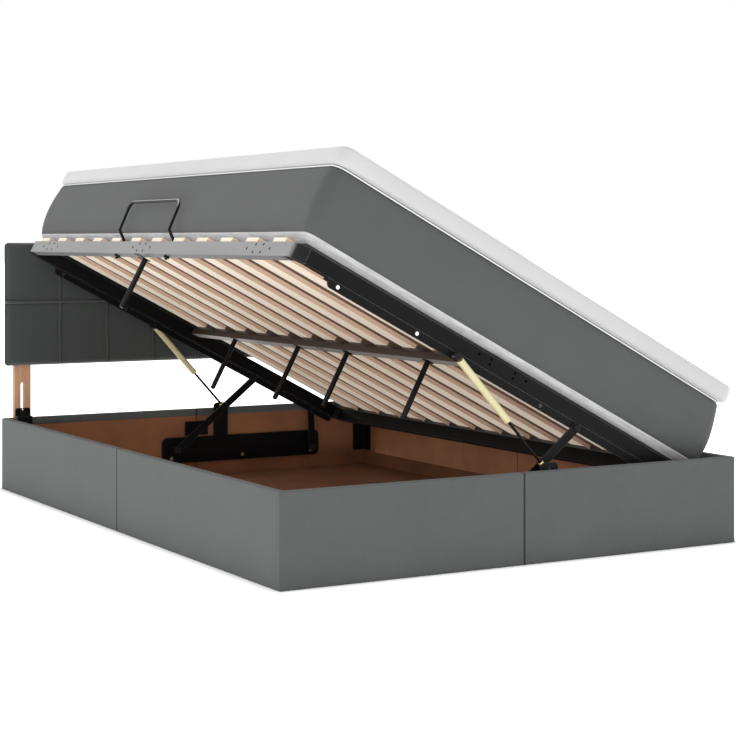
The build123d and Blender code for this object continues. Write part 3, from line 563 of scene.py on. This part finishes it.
def stacked_cushion(
    name, half_x, half_y, corner, layers, groups_of_layers, materials, place, waves, lean=None
):
    """Closed cushion from rings of (height, inset), with low waves in its sides.

    Where lean is given, it tells how far the far x side is pushed out at a height.
    """
    points = []
    for height, inset in layers:
        ring = rounded_ring(half_x - inset, half_y - inset, max(corner - inset, 0.003), 8, 60)
        for x, y in ring:
            sway = mathnoise.noise(Vector((x * 3.1, y * 3.1, height * 14))) * waves
            sway += mathnoise.noise(Vector((x * 11, y * 11, height * 40 + 5))) * waves * 0.4
            outward = Vector((x / half_x, y / half_y)).normalized()
            push = lean(height) * (x + half_x) / (2 * half_x) if lean else 0.0
            points.append((x + outward.x * sway + push, y + outward.y * sway, height))
    count = len(points) // len(layers)
    faces = ring_faces(len(layers), count) + end_caps(len(layers), count)
    groups = []
    for group in groups_of_layers[1:-1]:
        groups += [group] * count
    groups += [groups_of_layers[0], groups_of_layers[-1]]
    piece = mesh_object(name, points, faces, materials, groups)
    piece.matrix_world = place
    return piece


def tube(name, centres, radius, material, closed=False, sides=10):
    """Round cord through a row of points, closed to a loop or with closed ends."""
    points = []
    count = len(centres)
    up = Vector((0, 0, 1))
    for index, centre in enumerate(centres):
        before = centres[index - 1] if closed or index else centre
        after = centres[(index + 1) % count] if closed or index < count - 1 else centre
        outward = (Vector(after) - Vector(before)).normalized().cross(up)
        for side in range(sides):
            angle = 2 * math.pi * side / sides
            points.append(Vector(centre) + radius * (math.cos(angle) * outward + math.sin(angle) * up))
    faces = ring_faces(count, sides, closed=closed)
    if not closed:
        faces += end_caps(count, sides)
    return mesh_object(name, points, faces, [material])


def turned_piece(name, profile, place, material, steps=28):
    """Round piece from (radius, height) pairs about its own z axis, closed at both ends."""
    points = []
    for radius, height in profile:
        for step in range(steps):
            angle = 2 * math.pi * step / steps
            points.append((radius * math.cos(angle), radius * math.sin(angle), height))
    faces = ring_faces(len(profile), steps) + end_caps(len(profile), steps)
    piece = mesh_object(name, points, faces, [material])
    piece.matrix_world = place
    return piece


def look_along(origin, direction):
    """Placement whose own z axis points along a direction."""
    return Matrix.Translation(origin) @ Vector(direction).to_track_quat("Z", "Y").to_matrix().to_4x4()


def bell(away, width):
    """Share that falls from 1 to almost 0 within twice the width."""
    return math.exp(-((away / width) ** 2))


# Stage and light
floor_reach = 60.0
floor_drop = 0.0012
floor_glow = 2.0
floor_blend = 10.0
world_strength = 1.0
area_lights = (
    ("sweep", (-2.7, -4.85, 0.75), (0.1, 0.0, 0.45), 2.2, 58),
    ("key", (-3.9, -2.5, 4.0), (0, 0, 0.3), 2.5, 28),
)
bounce_place = (0.15, 0.0, 0.05)
bounce_aim = (0.15, 0.0, 1.0)
bounce_wide = 1.1
bounce_long = 1.9
bounce_power = 5


def make_stage():
    """Pale floor that glows beyond the outline of the box, so that it is as white as the photo's."""
    material, tree, shader = new_material("floor", (0.94, 0.94, 0.94), 0.85, specular=0.1)
    parts = add_node(tree, "ShaderNodeSeparateXYZ")
    tree.links.new(add_node(tree, "ShaderNodeTexCoord").outputs["Object"], parts.inputs["Vector"])
    beyond = []
    for axis, half in (("X", box_half_width), ("Y", box_half_length)):
        away = math_node(tree, "ABSOLUTE", parts.outputs[axis])
        beyond.append(math_node(tree, "SUBTRACT", away, half))
    outside = math_node(tree, "MAXIMUM", beyond[0], beyond[1])
    glow = add_node(tree, "ShaderNodeEmission", Strength=floor_glow)
    blend = add_node(tree, "ShaderNodeMixShader")
    tree.links.new(math_node(tree, "MULTIPLY", outside, floor_blend, clamp=True), blend.inputs["Fac"])
    tree.links.new(shader.outputs["BSDF"], blend.inputs[1])
    tree.links.new(glow.outputs["Emission"], blend.inputs[2])
    tree.links.new(blend.outputs["Shader"], tree.nodes["Material Output"].inputs["Surface"])
    corners = [(x * floor_reach, y * floor_reach, 0) for x, y in ((-1, -1), (1, -1), (1, 1), (-1, 1))]
    floor = mesh_object("floor", corners, [(0, 1, 2, 3)], [material])
    floor.location.z = -floor_drop


def area_light(name, place, aim, size, power):
    data = bpy.data.lights.new(name, "AREA")
    data.size = size
    data.energy = power
    light = bpy.data.objects.new(name, data)
    scene.collection.objects.link(light)
    light.location = place
    light.rotation_euler = (Vector(aim) - Vector(place)).to_track_quat("-Z", "Y").to_euler()
    return light


def make_light():
    world = bpy.data.worlds.new("studio")
    scene.world = world
    world.use_nodes = True
    world.node_tree.nodes["Background"].inputs["Color"].default_value = (1, 1, 1, 1)
    world.node_tree.nodes["Background"].inputs["Strength"].default_value = world_strength
    for light in area_lights:
        area_light(*light)
    make_bounce()


def make_bounce():
    """Unseen light in the box, for the light that the photo's white contents throw upwards."""
    bounce = area_light("bounce", bounce_place, bounce_aim, bounce_wide, bounce_power)
    bounce.data.shape = "RECTANGLE"
    bounce.data.size_y = bounce_long
    bounce.visible_camera = False
    bounce.visible_glossy = False


make_stage()
make_light()
scene.view_settings.view_transform = "Standard"


# Mattress, its edge tape and the topper, with heights above the deck
mattress_across = (-0.005, 1.418)
mattress_along = (-1.000, 1.012)
mattress_corner = 0.042
mattress_bottom = 0.014
mattress_band_top = 0.036
mattress_widest = 0.125
mattress_top = 0.224
mattress_wall_steps = 14
mattress_low_tuck = 0.016
mattress_high_tuck = 0.009
mattress_lean_least = 0.003
mattress_lean_more = 0.016
mattress_wave = 0.0012
tape_inset = 0.0108
tape_corner = 0.032
tape_drop = 0.0042
tape_radius = 0.0023
topper_across = (-0.002, 1.420)
topper_along = (-1.012, 1.012)
topper_corner = 0.032
topper_low = 0.2243
topper_thick = 0.0495
topper_round = 0.011
topper_bulge = 0.0008
topper_crown = 0.0006
topper_under_inset = 0.03
topper_crown_inset = 0.05
topper_wave = 0.0011


def halves_and_place(across, along):
    """Half the size each way, and the placement of the middle on the open deck."""
    half_x = (across[1] - across[0]) / 2
    half_y = (along[1] - along[0]) / 2
    return half_x, half_y, deck_matrix(across[0] + half_x, (along[0] + along[1]) / 2)


def mattress_band():
    """White lower band: (height, inset) from under the mattress up to the band's sewn edge."""
    bottom, top = mattress_bottom, mattress_band_top
    band = [(bottom, 0.080), (bottom, 0.041), (bottom + 0.001, 0.037), (0.020, 0.031), (0.027, 0.0245)]
    return band + [(0.032, 0.0205), (top - 0.001, 0.0185), (top, 0.0195)]


def mattress_wall():
    """Grey side that bulges up to its widest height."""
    low, widest, top = mattress_band_top, mattress_widest, mattress_top
    wall = [(low + 0.001, 0.0175)]
    for index in range(1, mattress_wall_steps + 1):
        height = low + (top - 0.010 - low) * index / mattress_wall_steps
        if height < widest:
            inset = mattress_low_tuck * ((widest - height) / (widest - low)) ** 2
        else:
            inset = mattress_high_tuck * ((height - widest) / (top - widest)) ** 2
        wall.append((height, inset + 0.001))
    return wall


def mattress_rim():
    """Dark seam_shadow strip under the edge tape, painted shade, and the start of the top."""
    top = mattress_top
    rim = [(top - 0.0085, 0.0115), (top - 0.0075, 0.0125), (top - 0.001, 0.0125)]
    return rim + [(top, 0.0135), (top, 0.03)]


def mattress_lean(height):
    """How far the hinge side hangs out past the deck at a height."""
    share = min(1.0, (mattress_top - height) / (mattress_top - mattress_band_top))
    return mattress_lean_least + mattress_lean_more * share


def make_mattress():
    half_x, half_y, place = halves_and_place(mattress_across, mattress_along)
    band, wall, rim = mattress_band(), mattress_wall(), mattress_rim()
    fabrics = [mattress_fabric, white_band, seam_shadow, mattress_under]
    # Group 2, the dark seam_shadow cloth, is painted shade: under the mattress beside the band, under the edge
    # tape and on the hidden top.
    groups = [3, 2] + [1] * (len(band) - 2) + [0] * len(wall) + [2] * len(rim) + [2]
    mattress = stacked_cushion(
        "mattress_block",
        half_x,
        half_y,
        mattress_corner,
        band + wall + rim,
        groups,
        fabrics,
        place,
        mattress_wave,
        mattress_lean,
    )
    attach(mattress, "deck")
    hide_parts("mattress")
    ring = rounded_ring(half_x - tape_inset, half_y - tape_inset, tape_corner, 8, 40)
    centres = [(x, y, mattress_top - tape_drop) for x, y in ring]
    tape = tube("mattress_edge_tape", centres, tape_radius, white_tape, closed=True)
    tape.matrix_world = place
    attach(tape, "deck")
    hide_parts("mattress_tape")


def make_topper():
    half_x, half_y, place = halves_and_place(topper_across, topper_along)
    low, thick, rounding = topper_low, topper_thick, topper_round
    edge = []
    for step in range(7):
        angle = math.radians(15 * step)
        edge.append((rounding * (1 - math.cos(angle)), rounding * (1 - math.sin(angle))))
    layers = [(low, rounding + topper_under_inset)] + [(low + rise, inset) for rise, inset in edge]
    for share in (0.4, 0.5, 0.6):
        layers.append((low + thick * share, -topper_bulge * math.sin(math.pi * share)))
    layers += [(low + thick - rise, inset) for rise, inset in reversed(edge)]
    layers.append((low + thick + topper_crown, rounding + topper_crown_inset))
    groups = [0] * (len(layers) + 1)
    topper = stacked_cushion(
        "topper_pad", half_x, half_y, topper_corner, layers, groups, [white_knit], place, topper_wave
    )
    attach(topper, "deck")
    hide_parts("topper")


make_mattress()
make_topper()


# Headboard: eight sewn channels in two rows, with a tuck between channels and a piping between the rows
row_split = sum(corner.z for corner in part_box("headboard_piping")) / 2
seam_pitch = 0.173
seams_each_side = 3
pad_overhang = 0.004
pad_edge = 0.020
pad_corner = 0.013
pad_crown = 0.0035
pad_rest = 0.0045
pad_back_gap = 0.001
tuck_reach = 0.009
side_without_tucks = 0.05
side_fall = 0.014
side_fall_wide = 0.10
seam_sway = 0.004
seam_sway_reach = 0.02
fine_steps = (0.0, 0.0011, 0.0022, 0.0033, 0.0046, 0.0062, 0.0085, 0.0125, 0.02)
piping_radius = 0.0037
piping_inset = 0.0015
piping_front = 0.0038
piping_bend = 0.012
piping_back_gap = 0.004


def spread_steps(low, high, broad):
    """Places from low to high, close together at both ends and broad in the middle."""
    places = [low + step for step in fine_steps]
    begin, end = low + fine_steps[-1], high - fine_steps[-1]
    places += [begin + (end - begin) * index / broad for index in range(1, broad)]
    return places + [high - step for step in reversed(fine_steps)]


def rounded_corner(x, z, low, high, radius):
    """Place of a point of a rectangular grid once the rectangle's corners are rounded."""
    middle_x, middle_z = (low.x + high.x) / 2, (low.z + high.z) / 2
    over_x = (abs(x - middle_x) - (high.x - low.x) / 2 + radius) / radius
    over_z = (abs(z - middle_z) - (high.z - low.z) / 2 + radius) / radius
    if over_x <= 0 or over_z <= 0:
        return x, z
    pull_x = (over_x - over_x * math.sqrt(1 - over_z * over_z / 2)) * radius
    pull_z = (over_z - over_z * math.sqrt(1 - over_x * over_x / 2)) * radius
    return x - math.copysign(pull_x, x - middle_x), z - math.copysign(pull_z, z - middle_z)


def pad_depth(x, z, begin, end, low, high):
    """Depth of the pad's front at a point of the channel between two seams."""
    channel_share = (x - begin) / (end - begin)
    row_low, row_high = (low.z, row_split) if z <= row_split else (row_split, high.z)
    row_share = (z - row_low) / (row_high - row_low)
    swell = max(0.0, 4 * channel_share * (1 - channel_share)) ** 0.5
    swell *= max(0.0, 4 * row_share * (1 - row_share)) ** 0.3
    y = low.y + pad_rest + pad_crown * (1 - swell)
    from_seam = min(x - begin, end - x)
    from_side = min(x - low.x, high.x - x)
    from_split = abs(z - row_split)
    if from_seam < tuck_reach and from_side > side_without_tucks:
        y += 0.003 * bell(from_seam - 0.0052, 0.0018)
        y -= 0.0055 * bell(from_seam, 0.0026)
    if from_split < tuck_reach:
        y += 0.0035 * bell(from_split - 0.0055, 0.0022)
    y += mathnoise.noise(Vector((x * 9, 3.1, z * 9))) * 0.0012
    y += side_fall * max(0.0, 1 - from_side / side_fall_wide) ** 2
    rim = min(from_side, z - low.z, high.z - z)
    if rim < pad_edge:
        y += (1 - math.sqrt(max(0.0, 1 - (1 - rim / pad_edge) ** 2))) * pad_edge
    return min(y, high.y - pad_back_gap)


def seam_shift(x, z, begin, end, low, high):
    """Sideways wander of a seam and of the cloth beside it."""
    if min(x - low.x, high.x - x) <= side_without_tucks:
        return 0.0
    nearest = begin if x - begin < end - x else end
    wander = mathnoise.noise(Vector((nearest * 5, 7.7, z * 11))) * seam_sway
    return wander * bell(min(x - begin, end - x), seam_sway_reach)


def pad_front(low, high):
    """Points of the pad's front in rows from the bottom up, and how many a row has."""
    steps = range(-seams_each_side, seams_each_side + 1)
    seams = [low.x] + [seam_pitch * step for step in steps] + [high.x]
    across = []
    for begin, end in zip(seams, seams[1:]):
        stretch = [(begin, end, x) for x in spread_steps(begin, end, 6)]
        across += stretch[1:] if across else stretch
    upright = spread_steps(low.z, row_split, 8) + spread_steps(row_split, high.z, 8)[1:]
    points = []
    for z in upright:
        for begin, end, x in across:
            y = pad_depth(x, z, begin, end, low, high)
            shifted = x + seam_shift(x, z, begin, end, low, high)
            plan_x, plan_z = rounded_corner(shifted, z, low, high, pad_corner)
            points.append((plan_x, y, plan_z))
    return points, len(across)


def make_headboard():
    low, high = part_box("headboard_pad")
    overhang = Vector((pad_overhang, 0, 0))
    low, high = low - overhang, high + overhang
    points, width = pad_front(low, high)
    rows = len(points) // width
    faces = []
    for row in range(rows - 1):
        for index in range(width - 1):
            start = row * width + index
            faces.append((start, start + 1, start + width + 1, start + width))
    border = list(range(width)) + [row * width + width - 1 for row in range(1, rows)]
    border += [(rows - 1) * width + index for index in range(width - 2, -1, -1)]
    border += [row * width for row in range(rows - 2, 0, -1)]
    base, count = len(points), len(border)
    points += [(points[index][0], high.y, points[index][2]) for index in border]
    for index in range(count):
        after = (index + 1) % count
        faces.append((border[index], base + index, base + after, border[after]))
    faces.append(tuple(base + index for index in range(count)))
    pad = mesh_object("headboard_cushion", points, faces, [headboard_fabric])
    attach(pad, "headboard")
    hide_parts("headboard_pad")
    make_piping(low, high)


def make_piping(low, high):
    """Fabric cord between the rows, bent round the pad's two side edges."""
    side, front, bend = low.x + piping_inset, low.y + piping_front, piping_bend
    half = [Vector((side, high.y - piping_back_gap, row_split))]
    half.append(Vector((side, front + bend + 0.001, row_split)))
    for step in range(1, 6):
        angle = math.radians(18 * step)
        x = side + bend * (1 - math.cos(angle))
        half.append(Vector((x, front + bend * (1 - math.sin(angle)), row_split)))
    begin, end = half[-1].x, low.x + high.x - half[-1].x
    straight = [Vector((begin + (end - begin) * step / 40, front, row_split)) for step in range(1, 40)]
    mirrored = [Vector((low.x + high.x - point.x, point.y, point.z)) for point in reversed(half)]
    centres = half + straight + mirrored
    piping = tube("headboard_welt", centres, piping_radius, headboard_fabric, sides=12)
    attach(piping, "headboard")
    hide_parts("headboard_piping")


make_headboard()


# Upholstery of the box: fabric over the rim, a sewn joint in the middle of each side, staples inside
box_corner = 0.004
fabric_thick = 0.0019
fabric_low = 0.0003
fabric_fold = 0.004
fabric_gap = 0.0002
fabric_wave = 0.0006
wall_low = 0.004
wall_top = 0.235
wall_steps = 8
joint_groove = 0.0015
joint_reach = 0.0028
joint_gaps = (0.012, 0.006, 0.004, 0.0025, 0.0012)
stations_to_joint = 22
staple_drop = 0.013
staple_pitch = 0.036
staple_end_gap = 0.04
staple_scatter = 0.0015
staple_most_tilt = 0.12
staple_half_long = 0.0055
staple_half_tall = 0.0007
staple_root = 0.0008
staple_bends = ((-1.0, 0.0002), (-0.86, 0.0011), (0.86, 0.0011), (1.0, 0.0002))
box_turns = (
    (Vector((-1, -1)), Vector((1, -1)), Vector((0, -1))),
    (Vector((1, -1)), Vector((1, 1)), Vector((1, 0))),
    (Vector((1, 1)), Vector((-1, 1)), Vector((0, 1))),
    (Vector((-1, 1)), Vector((-1, -1)), Vector((-1, 0))),
)


def rim_point(side, share, turn, depth):
    """Plan point on the outline at a depth inside the outer face: along a side, or round its corner."""
    half = Vector((box_half_width - depth, box_half_length - depth))
    corner = max(box_corner - depth, 0.0006)
    start, end, normal = box_turns[side]
    begin, goal = start * half, end * half
    run = (goal - begin).normalized()
    if turn == 0:
        return begin + run * (corner + ((goal - begin).length - 2 * corner) * share)
    angle = math.radians(18 * turn)
    centre = goal - (run + normal) * corner
    return centre + (normal * math.cos(angle) + run * math.sin(angle)) * corner


def rim_stations():
    """Stations round the box: side, share of it, step of the corner, distance to the side's joint."""
    stations = []
    for side in range(4):
        length = 2 * (box_half_width if side % 2 == 0 else box_half_length)
        near = [0.5 - gap / length for gap in joint_gaps]
        places = [near[0] * step / stations_to_joint for step in range(stations_to_joint)]
        places += near + [0.5]
        places += [1 - place for place in reversed(places[:-1])]
        stations += [(side, place, 0, abs(place - 0.5) * length) for place in places]
        stations += [(side, 1.0, turn, 1.0) for turn in range(1, 5)]
    return stations


def cover_profile():
    """Outline of the fabric across a panel: depth inside the outer face, height, pull of a joint."""
    outline = [(fabric_thick, fabric_low, 0.0), (0.0006, fabric_low, 0.3), (0.0, 0.0012, 1.0)]
    for step in range(wall_steps + 1):
        outline.append((0.0, wall_low + (wall_top - wall_low) * step / wall_steps, 1.0))
    for step in range(1, 6):
        angle = math.radians(18 * step)
        depth = fabric_fold * (1 - math.cos(angle))
        outline.append((depth, box_height - fabric_fold * (1 - math.sin(angle)), 0.7))
    for step in range(6):
        angle = math.radians(18 * step)
        depth = panel_thick - fabric_fold * (1 - math.sin(angle))
        outline.append((depth, box_height - fabric_fold * (1 - math.cos(angle)), 0.5))
    band_low, inner = box_height - band_tall, panel_thick - fabric_thick
    board_top = box_height - fabric_thick - fabric_gap
    outline += [(panel_thick, box_height - 0.015, 0.3), (panel_thick, band_low + 0.001, 0.0)]
    outline += [(inner, band_low + fabric_gap, 0.0), (inner, board_top, 0.0)]
    return outline + [(fabric_thick, board_top, 0.0)]


def make_upholstery():
    outline = cover_profile()
    stations = rim_stations()
    points = []
    for side, share, turn, joint in stations:
        groove = joint_groove * bell(joint, joint_reach)
        edge = rim_point(side, share, turn, 0)
        for inside, height, pull in outline:
            wave = mathnoise.noise(Vector((edge.x * 6, edge.y * 6, height * 9)))
            wave = max(0.0, wave * fabric_wave)
            x, y = rim_point(side, share, turn, inside + pull * (groove + wave))
            points.append((x, y, height - pull * groove * 0.4))
    faces = [tuple(reversed(face)) for face in ring_faces(len(stations), len(outline), closed=True)]
    cover = mesh_object("box_upholstery", points, faces, [box_fabric])
    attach(cover, "base")
    panels = ("foot_left", "foot_right", "head_left", "head_right")
    panels += ("left_side_foot", "left_side_head", "right_side_foot", "right_side_head")
    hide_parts(*[f"{panel}_cover" for panel in panels])


def add_staple(points, faces, centre, along, across, inward):
    """Flat bent wire whose ends go into the fabric."""
    start = len(points)
    for share, out in staple_bends:
        for side in (-staple_half_tall, staple_half_tall):
            spot = centre + along * share * staple_half_long + across * side
            points += [spot - inward * staple_root, spot + inward * out]
    for step in range(3):
        here, after = start + step * 4, start + step * 4 + 4
        faces += [(here + 1, here + 3, after + 3, after + 1), (here, after, after + 2, here + 2)]
        faces += [(here, here + 1, after + 1, after), (here + 2, after + 2, after + 3, here + 3)]
    faces.append((start, start + 2, start + 3, start + 1))
    faces.append((start + 12, start + 13, start + 15, start + 14))


def make_staples():
    points = []
    faces = []
    reach_x = box_half_width - panel_thick
    reach_y = box_half_length - panel_thick
    level = box_height - staple_drop
    up = Vector((0, 0, 1))
    walls = (
        (Vector((0, -reach_y, level)), Vector((1, 0, 0)), Vector((0, 1, 0)), reach_x),
        (Vector((0, reach_y, level)), Vector((1, 0, 0)), Vector((0, -1, 0)), reach_x),
        (Vector((-reach_x, 0, level)), Vector((0, 1, 0)), Vector((1, 0, 0)), reach_y),
        (Vector((reach_x, 0, level)), Vector((0, 1, 0)), Vector((-1, 0, 0)), reach_y),
    )
    for middle, run, inward, reach in walls:
        first = -(reach - staple_end_gap)
        for index in range(int(-2 * first / staple_pitch) + 1):
            centre = middle + run * (first + index * staple_pitch)
            centre += up * random.uniform(-staple_scatter, staple_scatter)
            tilt = random.uniform(-staple_most_tilt, staple_most_tilt)
            along = run * math.cos(tilt) + up * math.sin(tilt)
            across = run * -math.sin(tilt) + up * math.cos(tilt)
            add_staple(points, faces, centre, along, across, inward)
    staples = mesh_object("box_staples", points, faces, [staple_steel], smooth=False)
    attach(staples, "base")


make_upholstery()
make_staples()


# Fittings of the lift mechanism, with places along the bed as distances from its middle
cap_tall = 0.0035
cap_lip_share = 0.35
cap_fittings = (("strut_cap", strut_top, 1.0136, 0.0115), ("arm_cap", arm_top, 0.9986, 0.0100))
sleeve_start = 0.0105
sleeve_profile = (
    (0.0066, 0.0),
    (0.0082, 0.0008),
    (0.0082, 0.0046),
    (0.0074, 0.0052),
    (0.0072, 0.0066),
    (0.0060, 0.0070),
)


def dome(radius, tall):
    """Outline of a round bolt head with a socket."""
    lip, rest = cap_lip_share, 1 - cap_lip_share
    profile = [(radius, 0.0), (radius, tall * lip)]
    for step in range(1, 6):
        angle = math.radians(18 * step)
        profile.append((radius * (lip + rest * math.cos(angle)), tall * (lip + rest * math.sin(angle))))
    return profile + [(radius * 0.34, tall * 0.92), (radius * 0.32, tall * 0.7)]


def make_fittings():
    for end_name, side in (("foot", -1), ("head", 1)):
        for name, centre, along, radius in cap_fittings:
            place = look_along((centre.x, side * along, centre.z), (0, side, 0))
            cap = turned_piece(f"{name}_{end_name}", dome(radius, cap_tall), place, dark_bolt)
            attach(cap, "deck")
        run = (strut_top - strut_foot).normalized()
        start = Vector((strut_foot.x, side * rod_along, strut_foot.z)) + run * sleeve_start
        sleeve = turned_piece(f"rod_end_{end_name}", sleeve_profile, look_along(start, run), brass)
        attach(sleeve, f"gas_rod_{end_name}")


make_fittings()


# Painted shade in the rail holes, as dark discs at their mouths, in deck directions: distances along or across,
# and down from the deck's top
hole_sides = 16
hole_rings = ((-0.0004, 1.0), (0.0001, 1.0), (0.0003, 0.9))
hole_radius = 0.0037
raised_hole_groups = (-0.780, 0.0, 0.780)
raised_hole_pattern = ((0.066, 0.0195), (0.022, 0.008), (0.022, 0.0305))
end_hole_across = 0.690
end_hole_pattern = ((0.083, 0.012), (0.042, 0.009), (0.042, 0.023))
centre_hole_radius = 0.0055
centre_hole_drop = 0.020
centre_hole_places = ((0.674, 0.018), (0.674, -0.006), (0.689, 0.006), (0.689, -0.018))


def hole_shade_discs(name, spots, outward, sideways, radius=hole_radius):
    """Dark discs just proud of a rail's face, painted shade of the holes, at places given in deck directions."""
    points, faces = [], []
    normal, side = Vector(outward), Vector(sideways)
    for spot in spots:
        start = len(points)
        for out, share in hole_rings:
            for step in range(hole_sides):
                angle = 2 * math.pi * step / hole_sides
                flat = side * math.cos(angle) + side.cross(normal) * math.sin(angle)
                points.append(Vector(spot) + normal * out + flat * radius * share)
        for face in ring_faces(len(hole_rings), hole_sides) + end_caps(len(hole_rings), hole_sides):
            faces.append(tuple(start + index for index in face))
    holes = mesh_object(name, points, faces, [hole_painted_shade])
    holes.matrix_world = deck_matrix()
    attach(holes, "deck")


def make_rail_holes():
    spots = []
    for group in raised_hole_groups:
        for side in (-1, 1):
            spots += [(0, group + side * along, -drop) for along, drop in raised_hole_pattern]
    hole_shade_discs("raised_rail_holes", spots, (-1, 0, 0), (0, 1, 0))
    for name, end in (("foot", 0), ("head", 1)):
        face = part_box(f"{name}_rail")[end].y
        spots = []
        for side in (-1, 1):
            spots += [(end_hole_across + side * across, face, -drop) for across, drop in end_hole_pattern]
        hole_shade_discs(f"{name}_rail_holes", spots, (0, 2 * end - 1, 0), (1, 0, 0))
    spots = [(across, along, -centre_hole_drop) for across, along in centre_hole_places]
    hole_shade_discs("centre_rail_holes", spots, (0, 0, -1), (1, 0, 0), centre_hole_radius)


make_rail_holes()
